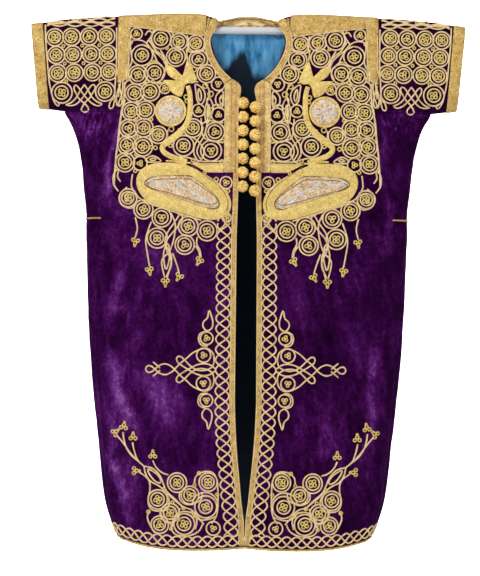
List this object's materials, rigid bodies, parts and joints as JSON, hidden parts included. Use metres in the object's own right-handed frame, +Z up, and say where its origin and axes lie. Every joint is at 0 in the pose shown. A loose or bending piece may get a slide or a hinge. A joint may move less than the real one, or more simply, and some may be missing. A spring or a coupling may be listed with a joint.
{
  "type": "short kaftan on hanger bar",
  "caption": "Short velvet kaftan, open at the front with short straight sleeves, gilt bands and padded appliques, hanging on a plain bar.",
  "frame": {"origin": "centre of the hanger bar, on the garment's middle plane", "axes": "+Z up, front opening towards -Y, +X towards the wearer's left cuff"},
  "size_m": [0.811, 0.1997, 0.9944],
  "materials": {
    "velvet": "deep purple crushed pile",
    "blue_cotton": "matt blue cotton lining",
    "gold_satin": "satin weave facing",
    "gilt_band": "couched gilt thread in close rows",
    "bright_gilt": "couched bright gilt thread over padding",
    "silver_thread": "couched silver and pale gold thread",
    "gilt_button": "gilt thread worked over a round core",
    "bar_metal": "plain pale painted bar"
  },
  "bodies": {
    "root": {"front_panel_right": "velvet", "front_panel_left": "velvet", "back_panel": "velvet", "sleeve_right": "velvet", "sleeve_left": "velvet", "side_gore_right": "velvet", "side_gore_left": "velvet", "back_lining": "blue_cotton", "back_neck_facing": "gold_satin", "neck_band": "gilt_band", "placket_band_right": "gilt_band", "front_edge_band_right": "gilt_band", "chest_band_right": "gilt_band", "armhole_band_right": "gilt_band", "shoulder_band_right": "gilt_band", "cuff_band_right": "gilt_band", "hem_binding_front_right": "gilt_band", "hem_binding_gore_right": "gilt_band", "waist_cord_right": "gilt_band", "medallion_ring_right": "gilt_band", "placket_band_left": "gilt_band", "front_edge_band_left": "gilt_band", "chest_band_left": "gilt_band", "armhole_band_left": "gilt_band", "shoulder_band_left": "gilt_band", "cuff_band_left": "gilt_band", "hem_binding_front_left": "gilt_band", "hem_binding_gore_left": "gilt_band", "waist_cord_left": "gilt_band", "medallion_ring_left": "gilt_band", "hem_binding_back": "gilt_band", "leaf_frame_right": "bright_gilt", "flower_right": "bright_gilt", "flower_stem_right": "bright_gilt", "leaf_frame_left": "bright_gilt", "flower_left": "bright_gilt", "flower_stem_left": "bright_gilt", "medallion_disc_right": "silver_thread", "leaf_insert_right": "silver_thread", "medallion_disc_left": "silver_thread", "leaf_insert_left": "silver_thread", "button_right_1": "gilt_button", "button_right_2": "gilt_button", "button_right_3": "gilt_button", "button_right_4": "gilt_button", "button_right_5": "gilt_button", "button_right_6": "gilt_button", "button_right_7": "gilt_button", "button_left_1": "gilt_button", "button_left_2": "gilt_button", "button_left_3": "gilt_button", "button_left_4": "gilt_button", "button_left_5": "gilt_button", "button_left_6": "gilt_button", "button_left_7": "gilt_button", "hanger_bar": "bar_metal"}
  },
  "joints": []
}
